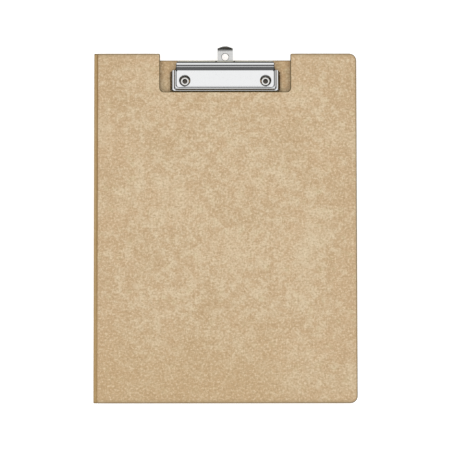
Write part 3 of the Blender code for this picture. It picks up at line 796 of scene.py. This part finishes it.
def base_plate(satin):
    """The plate under the lever. Its bridge narrows behind the hanging tab's wide head."""
    wide = TAB_HEAD_HALF_WIDTH + BRIDGE_CLEARANCE
    narrow = TAB_HALF_WIDTH + BRIDGE_CLEARANCE
    step_end_y = BRIDGE_STEP_Y + BRIDGE_STEP_LENGTH
    margin = 0.3 * MM
    rows = [base_row(BASE[0].y, wide), base_row(BRIDGE_STEP_Y - margin, wide)]
    for step in range(BRIDGE_STEPS + 1):
        share = step / BRIDGE_STEPS
        ease = share * share * (3 - 2 * share)
        y = BRIDGE_STEP_Y + BRIDGE_STEP_LENGTH * share
        rows.append(base_row(y, wide + (narrow - wide) * ease))
    rows.append(base_row(step_end_y + margin, narrow))
    rows.append(base_row(BASE[1].y, narrow))
    cage = bmesh.new()
    loft_rows(cage, rows)
    piece = sheet_piece("base_sheet", cage, satin, SHEET)
    foot_z = BASE_TOP - SHEET * 3 / 4
    crown_z = PIVOT_Z + EAR_RADIUS * 0.8
    ear = rounded(
        [
            (PIVOT_Y - EAR_RADIUS, foot_z, 0),
            (PIVOT_Y + EAR_RADIUS, foot_z, 0),
            (PIVOT_Y + EAR_RADIUS, crown_z, EAR_RADIUS * 0.9),
            (PIVOT_Y - EAR_RADIUS, crown_z, EAR_RADIUS * 0.9),
        ]
    )
    tools = []
    for side, low_x in (("left", -BASE_HALF_WIDTH), ("right", BASE_HALF_WIDTH - SHEET)):
        tools.append((cutter(f"base_ear_{side}", upright_cage([ear], low_x, SHEET)), "UNION"))
    for side, x in RIVETS.items():
        rod = rod_cage(RIVET_HOLE, BASE_TOP - 2 * SHEET, BASE_TOP + 2 * SHEET)
        tools.append((cutter(f"rivet_hole_{side}", rod, Matrix.Translation((x, RIVET_Y, 0))), "DIFFERENCE"))
    reach = EAR_OUTER_X + SHEET
    rod = rod_cage(PIN_HOLE_RADIUS, -reach, reach, 32)
    tools.append((cutter("base_pin_hole", rod, ALONG_PIN), "DIFFERENCE"))
    carve(piece, tools)
    flatten_shading(piece)
    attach(piece, "back")
    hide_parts("clip_base_plate")


def rivet(name, x, nickel, hollow, replaced):
    """A semi-tubular rivet. Its rim is rolled over the base plate and its flat head is in the outer liner."""
    rim_foot = BASE_TOP + PART_GAP
    rim_top = rim_foot + RIVET_RIM_HEIGHT
    head_low, head_high = 0.02 * MM, LINER
    profile = rounded(
        [
            (0, RIVET_FLOOR_Z, 0),
            (RIVET_BORE, RIVET_FLOOR_Z, 0.5 * MM),
            (RIVET_BORE, rim_top, 0.3 * MM),
            (RIVET_RIM, rim_top, 0.4 * MM),
            (RIVET_RIM, rim_foot, 0.1 * MM),
            (RIVET_SHANK, rim_foot, 0),
            (RIVET_SHANK, head_high, 0),
            (RIVET_HEAD, head_high, 0),
            (RIVET_HEAD, head_low, 0.2 * MM),
            (0, head_low, 0),
        ],
        closed=False,
    )
    cage = turned_cage([(p.x, p.y) for p in profile])
    for face in cage.faces:
        centre = face.calc_center_median()
        if RIVET_FLOOR_Z - 0.01 * MM < centre.z < rim_top - 0.3 * MM and centre.xy.length < RIVET_BORE:
            face.material_index = 1
    bmesh.ops.translate(cage, verts=cage.verts, vec=(x, RIVET_Y, 0))
    piece = obj_from(name, cage, [nickel, hollow], smooth=35)
    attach(piece, "back")
    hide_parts(replaced)


def hinge_pin(nickel):
    """A plain pin with a domed, peened head at each end."""
    reach = EAR_OUTER_X + 0.2 * MM
    end = PIN[1].x
    radius = (PIN[1].z - PIN[0].z) / 2
    upper = [(0, end), (radius * 0.55, end - 0.03 * MM), (radius * 0.85, end - 0.14 * MM)]
    upper += [(radius, end - 0.32 * MM), (radius, reach), (PIN_RADIUS, reach)]
    profile = upper + [(r, -z) for r, z in reversed(upper)]
    cage = turned_cage(profile, 36)
    cage.transform(ALONG_PIN)
    piece = obj_from("pivot_pin", cage, [nickel], smooth=35)
    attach(piece, "back")
    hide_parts("hinge_pin")


def spring(name, side, wire, replaced):
    """A torsion spring round the pin. It winds up between its legs on the base plate and on the lever."""
    start_angle = -math.pi / 2
    sweep = (start_angle - SPRING_EXIT_ANGLE) % (2 * math.pi) + COIL_TURNS * 2 * math.pi
    steps = round(sweep / (2 * math.pi) * COIL_STEPS)
    length = COIL_PITCH * sweep / (2 * math.pi)
    foot_z = BASE_TOP + WIRE_RADIUS + PART_GAP
    points = [(side * COIL_OUTER_X, PIVOT_Y + SPRING_LEG_LENGTH, foot_z)]
    for step in range(steps + 1):
        share = step / steps
        angle = start_angle - sweep * share
        x = side * (COIL_OUTER_X - length * share)
        points.append((x, PIVOT_Y + COIL_RADIUS * math.cos(angle), PIVOT_Z + COIL_RADIUS * math.sin(angle)))
    x, y, z = points[-1]
    rise = math.sin(SPRING_EXIT_ANGLE), -math.cos(SPRING_EXIT_ANGLE)
    points.append((x, y + SPRING_LEVER_LEG * rise[0], z + SPRING_LEVER_LEG * rise[1]))
    curve = bpy.data.curves.new(name, "CURVE")
    curve.dimensions = "3D"
    curve.bevel_depth = WIRE_RADIUS
    curve.bevel_resolution = 3
    curve.use_fill_caps = True
    cage = curve_cage(curve, [points], closed=False)
    piece = obj_from(name, cage, [wire], smooth=50)
    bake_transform(piece)
    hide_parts(replaced)


def hole_rim(low, high):
    """The chamfered edge of the tab's hole, in the dark second material: painted shade and dark reflection.
    """
    outer = TAB_HOLE_RIM + 0.02 * MM
    profile = [(TAB_HOLE_RADIUS, low), (outer, low), (outer, high - 0.01 * MM)]
    profile.append((TAB_HOLE_RADIUS, high - TAB_CHAMFER))
    cage = turned_cage(profile)
    bmesh.ops.translate(cage, verts=cage.verts, vec=(0, TAB_HOLE_Y, 0))
    for face in cage.faces:
        face.material_index = 1
    return cage


def hanging_tab(plate, edge):
    """A strip cut flat and folded along X, with its pull lip curled up, and then turned to point along Y."""
    flat_top = TAB[0].z + TAB_SHEET
    lip_u = -TAB_LIP_Y
    path = [Vector((lip_u + 0.4 * MM, flat_top)), Vector((lip_u, flat_top))]
    for step in range(1, TAB_LIP_STEPS + 1):
        turn = TAB_LIP_SWEEP * step / TAB_LIP_STEPS
        curled = Vector((-math.sin(turn), 1 - math.cos(turn))) * TAB_LIP_RADIUS
        path.append(Vector((lip_u, flat_top)) + curled)
    end_u = lip_u - TAB_LIP_RADIUS * TAB_LIP_SWEEP
    half = [
        (-TAB[0].y, TAB_HEAD_HALF_WIDTH, 1 * MM),
        (-TAB_SHOULDER_Y, TAB_HEAD_HALF_WIDTH, 0.4 * MM),
        (-TAB_SHOULDER_Y, TAB_HALF_WIDTH, 0.3 * MM),
        (end_u + TAB_LIP_SLOPE, TAB_HALF_WIDTH, 0.8 * MM),
        (end_u, TAB_LIP_TIP, 2.5 * MM),
    ]
    other = [(u, -across, radius) for u, across, radius in reversed(half)]
    outline = rounded([other[-1], *half, *other[:-1]])
    stations = stations_on(path)
    cage = flat_faces([outline, ring(-TAB_HOLE_Y, 0, TAB_HOLE_RIM, ROUND_STEPS)])
    cut_at(cage, (1, 0, 0), [u for u, *_ in stations[:-1]])
    fold(cage, stations, 1)
    cage.transform(Matrix.Rotation(-math.pi / 2, 4, "Z"))
    piece = sheet_piece("tab_strip", cage, plate, TAB_SHEET)
    settle(piece)
    piece.data.materials.append(edge)
    soften(piece, TAB_EDGE)
    joined(piece, [hole_rim(TAB[0].z, flat_top)])
    flatten_shading(piece)
    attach(piece, "tab")
    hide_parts("hanging_tab")


def clip(chrome, brushed, painted_dark_edges, satin, nickel, hollow, wire):
    """Every metal piece, from the base plate up."""
    base_plate(satin)
    for side, x in RIVETS.items():
        rivet(f"eyelet_{side}", x, nickel, hollow, f"rivet_{side}")
    hinge_pin(nickel)
    for side, sign in (("left", -1), ("right", 1)):
        spring(f"spring_wire_{side}", sign, wire, f"torsion_spring_{side}")
    lever(chrome, painted_dark_edges)
    hanging_tab(brushed, painted_dark_edges)


# ---------------- materials


class Nodes:
    """A short way to add and join shader nodes in one material."""

    def __init__(self, name):
        self.material = bpy.data.materials.new(name)
        self.material.use_nodes = True
        self.tree = self.material.node_tree
        self.shader = self.tree.nodes["Principled BSDF"]

    def add(self, kind, settings=(), **inputs):
        """A node of this kind. An input is a value, or another node's output socket."""
        node = self.tree.nodes.new(kind)
        for key, value in dict(settings).items():
            setattr(node, key, value)
        for key, value in inputs.items():
            self.feed(node.inputs[key.replace("_", " ")], value)
        return node

    def feed(self, socket, value):
        """Links another node's output to a socket, or sets the socket's own value."""
        if isinstance(value, bpy.types.NodeSocket):
            self.tree.links.new(value, socket)
        else:
            socket.default_value = value

    def surface(self, **inputs):
        """Feeds the material's shader."""
        for key, value in inputs.items():
            self.feed(self.shader.inputs[key.replace("_", " ")], value)

    def noise(self, where, scale, detail=2.0, roughness=0.5):
        node = self.add("ShaderNodeTexNoise", Vector=where, Scale=scale, Detail=detail, Roughness=roughness)
        return node.outputs["Fac"]

    def spread(self, value, low, high, to_low=0.0, to_high=1.0):
        """Maps low..high of a value smoothly to to_low..to_high."""
        node = self.add("ShaderNodeMapRange", {"interpolation_type": "SMOOTHSTEP"}, Value=value)
        for key, number in (("From Min", low), ("From Max", high), ("To Min", to_low), ("To Max", to_high)):
            node.inputs[key].default_value = number
        return node.outputs["Result"]

    def math(self, operation, first, second=0.0):
        node = self.add("ShaderNodeMath", {"operation": operation})
        self.feed(node.inputs[0], first)
        self.feed(node.inputs[1], second)
        return node.outputs["Value"]

    def mix(self, factor, first, second):
        node = self.add("ShaderNodeMix", {"data_type": "RGBA"})
        self.feed(node.inputs["Factor"], factor)
        self.feed(node.inputs[6], first)
        self.feed(node.inputs[7], second)
        return node.outputs[2]

    def stretched(self, where, scale, angle=0.0):
        node = self.add("ShaderNodeMapping", Vector=where)
        node.inputs["Scale"].default_value = scale
        node.inputs["Rotation"].default_value = (0, 0, angle)
        return node.outputs["Vector"]

    def bump(self, height, distance, strength):
        node = self.add("ShaderNodeBump", Height=height, Distance=distance, Strength=strength)
        self.surface(Normal=node.outputs["Normal"])


def rgb(red, green, blue):
    """A linear colour from sRGB values of 11 to 255."""
    return (*[((c / 255 + 0.055) / 1.055) ** 2.4 for c in (red, green, blue)], 1)


def kraft_painted_shade(n, across, along, groove_u):
    """(factor, colour) layers of painted shade along the paper's edges, in the crease and over the spine."""
    # Darker bands along the top, bottom and right edges: painted shade.
    ends = n.spread(n.math("ABSOLUTE", along), 1.535, 1.578, 0.0, 0.65)
    painted_edge_shade = n.math("MAXIMUM", ends, n.spread(across, 1.165, 1.187, 0.0, 0.7))
    # Darker past the crease's groove, at the spine's corner and in the groove, the groove's tint strongest
    # towards the top: painted shade of the crease and the spine's turn.
    past = n.math("SUBTRACT", n.math("MULTIPLY", across, SHEET_UNIT), groove_u)
    corner = n.math("ABSOLUTE", n.math("ADD", past, GROOVE_SETBACK + 0.3 * MM))
    near = n.spread(n.math("ABSOLUTE", past), 1.1 * MM, 0.15 * MM)
    return [
        (painted_edge_shade, (158, 138, 104)),
        (n.spread(past, 0.9 * MM, -0.4 * MM, 0.0, 0.72), (166, 136, 86)),
        (n.spread(corner, 1.1 * MM, 0.2 * MM, 0.0, 0.6), (134, 118, 84)),
        (n.math("MULTIPLY", near, n.spread(along, -1.3, 0.3, 0.3, 0.8)), (139, 107, 62)),
    ]


def kraft_look(name, groove_u, tone=1.0):
    """Mottled kraft paper with fibres and flecks, in layers of colour, with painted shade at its edges,
    crease and spine. A tone below 1 is browner.
    """
    n = Nodes(name)
    sheet = n.add("ShaderNodeUVMap", {"uv_map": "sheet"}).outputs["UV"]
    place_at = n.add("ShaderNodeSeparateXYZ", Vector=sheet).outputs
    across, along = place_at["X"], place_at["Y"]

    beside = n.spread(n.math("ABSOLUTE", across), 0.75, 1.2)
    beyond = n.spread(n.math("ABSOLUTE", along), 1.15, 1.6)
    rim = n.math("MULTIPLY", n.math("MAXIMUM", beside, beyond), 0.07)
    patches = n.math("SUBTRACT", n.noise(sheet, 11, 7, 0.7), rim)
    cloud = n.noise(sheet, 1.9, 4, 0.62)
    foot = n.math("MULTIPLY", n.spread(along, -0.6, -1.4), n.spread(across, 0.8, 0.3, 0.1, 0.5))
    mottle = n.noise(sheet, 51, 3, 0.6)
    layers = [
        (n.spread(n.noise(sheet, 2.4), 0.4, 0.7, 0.0, 0.35), (203, 171, 134)),
        (n.spread(n.noise(sheet, 10), 0.58, 0.74, 0.0, 0.35), (206, 194, 155)),
        (n.spread(cloud, 0.5, 0.7, 0.0, 0.5), (218, 201, 170)),
        (n.spread(cloud, 0.5, 0.28, 0.0, 0.66), (187, 158, 119)),
        (foot, (190, 160, 118)),
        (n.spread(mottle, 0.5, 0.7, 0.0, 0.68), (229, 209, 175)),
        (n.spread(mottle, 0.5, 0.3, 0.0, 0.74), (174, 148, 113)),
    ]
    for scale, angle in (((30, 110, 1), 0.5), ((110, 30, 1), 0.35), ((32, 130, 1), -0.9)):
        strand = n.noise(n.stretched(sheet, scale, angle), 1, 2, 0.55)
        layers.append((n.spread(strand, 0.58, 0.72, 0.0, 0.45), (232, 214, 182)))
        layers.append((n.spread(strand, 0.42, 0.28, 0.0, 0.45), (168, 141, 104)))

    def toned(colour):
        red, green, blue, _ = rgb(*colour)
        return red * tone, green * tone ** 1.35, blue * tone ** 2.2, 1

    colour = n.mix(n.spread(patches, 0.42, 0.6), toned((195, 167, 131)), toned((213, 193, 161)))
    for factor, tint in layers + kraft_painted_shade(n, across, along, groove_u):
        colour = n.mix(factor, colour, toned(tint))
    fine = n.noise(sheet, 170, 3, 0.6)
    n.surface(Base_Color=colour, Roughness=n.spread(fine, 0.3, 0.7, 0.78, 0.92), Specular_IOR_Level=0.28)
    n.bump(n.math("ADD", n.math("MULTIPLY", mottle, 0.6), fine), 0.03 * MM, 0.55)
    return n.material


def kraft_edge_look(name, tone=1.0):
    """The liner where the die has pressed it down and cut it: darker, with torn fibres."""
    n = Nodes(name)
    place_at = n.add("ShaderNodeTexCoord").outputs["Object"]
    torn = n.noise(place_at, 1400, 3, 0.6)
    dark, light = (rgb(*[c * tone for c in colour]) for colour in ((84, 73, 47), (122, 107, 76)))
    colour = n.mix(n.spread(torn, 0.3, 0.7), dark, light)
    n.surface(Base_Color=colour, Roughness=0.92, Specular_IOR_Level=0.2)
    n.bump(torn, 0.05 * MM, 0.6)
    return n.material


def greyboard_look(name, edge):
    """Pressed grey-brown board. Its cut edge shows the plies as fine lines."""
    n = Nodes(name)
    place_at = n.add("ShaderNodeTexCoord").outputs["Object"]
    flock = n.noise(place_at, 900, 4, 0.65)
    colour = n.mix(n.spread(flock, 0.3, 0.7), rgb(118, 106, 88), rgb(156, 143, 121))
    height = flock
    if edge:
        plies = n.noise(n.stretched(place_at, (260, 260, 5200)), 1, 2, 0.6)
        colour = n.mix(n.spread(plies, 0.42, 0.62, 0.0, 0.7), colour, rgb(92, 80, 63))
        height = n.math("ADD", flock, plies)
    n.surface(Base_Color=colour, Roughness=0.93, Specular_IOR_Level=0.2)
    n.bump(height, 0.06 * MM, 0.7)
    return n.material


def plated_look(name, colour, low_rough, high_rough, ripple):
    """Bright plate on pressed steel, with faint waves, wipe marks and fine scratches."""
    n = Nodes(name)
    place_at = n.add("ShaderNodeTexCoord").outputs["Object"]
    haze = n.noise(n.stretched(place_at, (60, 240, 240), 0.2), 1, 3, 0.6)
    tarnish = n.spread(n.noise(place_at, 320, 3, 0.6), 0.45, 0.8, 0.0, 0.35)
    dull = (*[c * 0.93 for c in colour[:3]], 1)
    rough = n.spread(haze, 0.35, 0.75, low_rough, high_rough)
    n.surface(Base_Color=n.mix(tarnish, colour, dull), Roughness=rough, Metallic=1)
    wave = n.noise(place_at, 90, 1, 0.4)
    scratch = n.noise(n.stretched(place_at, (120, 2600, 2600), 0.7), 1, 2, 0.5)
    height = n.math("ADD", n.math("MULTIPLY", wave, ripple), n.math("MULTIPLY", scratch, 0.02))
    n.bump(height, 0.02 * MM, 0.35)
    return n.material


def glowing(name, radiance):
    """A surface that only gives light."""
    n = Nodes(name)
    n.surface(Base_Color=(0, 0, 0, 1), Roughness=1, Specular_IOR_Level=0)
    n.surface(Emission_Color=(1, 1, 1, 1), Emission_Strength=radiance)
    return n.material


# ---------------- studio


def softbox():
    """The one lamp, overhead. The chrome reflects the ceiling in its place."""
    lamp = bpy.data.lights.new("overhead_softbox", "AREA")
    lamp.shape = "RECTANGLE"
    lamp.size = lamp.size_y = SOFTBOX_SIZE
    lamp.energy = SOFTBOX_POWER
    obj = bpy.data.objects.new("overhead_softbox", lamp)
    obj.visible_glossy = False
    obj.visible_camera = False
    obj.location = SOFTBOX_PLACE
    obj.rotation_euler = (-SOFTBOX_PLACE).to_track_quat("-Z", "Y").to_euler()
    bpy.context.scene.collection.objects.link(obj)


def floor():
    """A plain pale floor, low enough for the cover to fold right round under the back."""
    cage = bmesh.new()
    bmesh.ops.create_grid(cage, x_segments=8, y_segments=8, size=FLOOR_SIZE / 2)
    bmesh.ops.translate(cage, verts=cage.verts, vec=(0, 0, FLOOR_Z))
    n = Nodes("studio_floor")
    place_at = n.add("ShaderNodeTexCoord").outputs["Object"]
    grain = n.spread(n.noise(place_at, 40), 0.3, 0.7)
    colour = n.mix(grain, (0.86, 0.86, 0.86, 1), (0.88, 0.88, 0.88, 1))
    n.surface(Base_Color=colour, Roughness=0.9, Specular_IOR_Level=0.1)
    n.surface(Emission_Color=(1, 1, 1, 1), Emission_Strength=FLOOR_GLOW)
    obj_from("studio_floor", cage, [n.material])


def backdrop():
    """A pale wall far round the set, behind the floor's edge, which only the camera sees."""
    cage = bmesh.new()
    angles = [2 * math.pi * k / ROUND_STEPS for k in range(ROUND_STEPS + 1)]
    round_wall = [(BACKDROP_RADIUS * math.cos(a), BACKDROP_RADIUS * math.sin(a)) for a in angles]
    loft_rows(cage, [[(x, y, z) for x, y in round_wall] for z in (FLOOR_Z, BACKDROP_TOP)])
    wall = obj_from("studio_backdrop", cage, [glowing("backdrop_paper", BACKDROP_GLOW)])
    wall.visible_diffuse = False
    wall.visible_glossy = False
    wall.visible_shadow = False


def reflector(name, cage, radiance):
    """A card that only reflections see, as a studio hangs white and black cards round polished metal."""
    card = obj_from(name, cage, [glowing(name, radiance)])
    card.visible_camera = False
    card.visible_diffuse = False
    card.visible_transmission = False
    card.visible_shadow = False


def card_line(middle, half, z, radius=CARD_RADIUS):
    """Points along an arc round the set at one height. Its middle and half of its angle are in degrees."""
    steps = range(-CARD_HALF_STEPS, CARD_HALF_STEPS + 1)
    angles = [math.radians(middle + half * k / CARD_HALF_STEPS) for k in steps]
    return [(radius * math.cos(a), radius * math.sin(a), z) for a in angles]


def reflectors():
    """A pale ceiling, four grey cards round the set with a dark skirt each, and a dark sheet under it."""
    ceiling = bmesh.new()
    bmesh.ops.create_circle(ceiling, cap_ends=True, segments=ROUND_STEPS, radius=CEILING_RADIUS)
    bmesh.ops.translate(ceiling, verts=ceiling.verts, vec=(0, 0, CEILING_Z))
    reflector("pale_ceiling", ceiling, CEILING_GLOW)
    foot = FLOOR_Z + 0.5 * MM
    dark, grey = bmesh.new(), bmesh.new()
    loft_rows(dark, [card_line(0, 180, foot, radius) for radius in (1 * MM, CARD_RADIUS)])
    for middle in (0, 90, 180, 270):
        low, mid, high = [card_line(middle, CARD_HALF_ANGLE, z) for z in (foot, DARK_CARD_TOP, GREY_CARD_TOP)]
        loft_rows(dark, [low, mid])
        loft_rows(grey, [mid, high])
    reflector("dark_cards", dark, DARK_CARD_GLOW)
    reflector("grey_cards", grey, GREY_CARD_GLOW)


def studio():
    """The floor, the wall, the lamp and what the chrome reflects."""
    scene = bpy.context.scene
    scene.view_settings.view_transform = "Standard"
    world = bpy.data.worlds.new("studio")
    world.use_nodes = True
    sky = world.node_tree.nodes["Background"]
    sky.inputs["Color"].default_value = (1, 1, 1, 1)
    sky.inputs["Strength"].default_value = WORLD_LIGHT
    scene.world = world
    floor()
    backdrop()
    reflectors()
    softbox()


def camera():
    """Straight above, leaning a little towards the bottom edge, far enough away for a near-flat view."""
    data = bpy.data.cameras.new("camera")
    data.lens = CAMERA_LENS
    data.clip_end = 50
    obj = bpy.data.objects.new("camera", data)
    tilt = Matrix.Rotation(CAMERA_TILT, 4, "X")
    roll = Matrix.Rotation(CAMERA_ROLL, 4, "Z")
    away = Matrix.Translation((0, 0, CAMERA_DISTANCE))
    obj.matrix_world = Matrix.Translation(CAMERA_TARGET) @ roll @ tilt @ away
    bpy.context.scene.collection.objects.link(obj)
    bpy.context.scene.camera = obj


# ---------------- build


def main():
    groove_u = LEFT + GROOVE_SETBACK - GROOVE_LAG
    kraft = [kraft_look("kraft_paper", groove_u), kraft_edge_look("kraft_pressed_edge")]
    # The lining's browner tones are painted shade: the darker, warmer light down in the notch.
    lining = [kraft_look("kraft_lining", groove_u, 0.93), kraft_edge_look("lining_pressed_edge", 0.95)]
    grey = [greyboard_look("greyboard", False), greyboard_look("greyboard_edge", True)]
    chrome = plated_look("chrome_plate", (0.88, 0.885, 0.89, 1), 0.03, 0.1, 1.0)
    nickel = plated_look("nickel_plate", (0.80, 0.785, 0.755, 1), 0.08, 0.2, 1.0)
    brushed = plated_look("brushed_plate", (0.72, 0.72, 0.71, 1), 0.24, 0.36, 1.5)
    # Dark metal for the cut edges, the lever's webs, the tab's rims and its hole's edge: painted shade and
    # painted dark reflection.
    painted_dark_edges = plated_look("plate_edge_painted_shade", (0.17, 0.165, 0.155, 1), 0.25, 0.4, 0.5)
    satin = plated_look("satin_zinc", (0.43, 0.42, 0.345, 1), 0.3, 0.42, 0.5)
    hollow = plated_look("rivet_hollow", (0.10, 0.088, 0.075, 1), 0.25, 0.45, 0.5)
    wire = plated_look("spring_wire", (0.52, 0.53, 0.55, 1), 0.2, 0.34, 0.5)
    camera()
    folder(kraft, lining, grey)
    clip(chrome, brushed, painted_dark_edges, satin, nickel, hollow, wire)
    studio()


main()
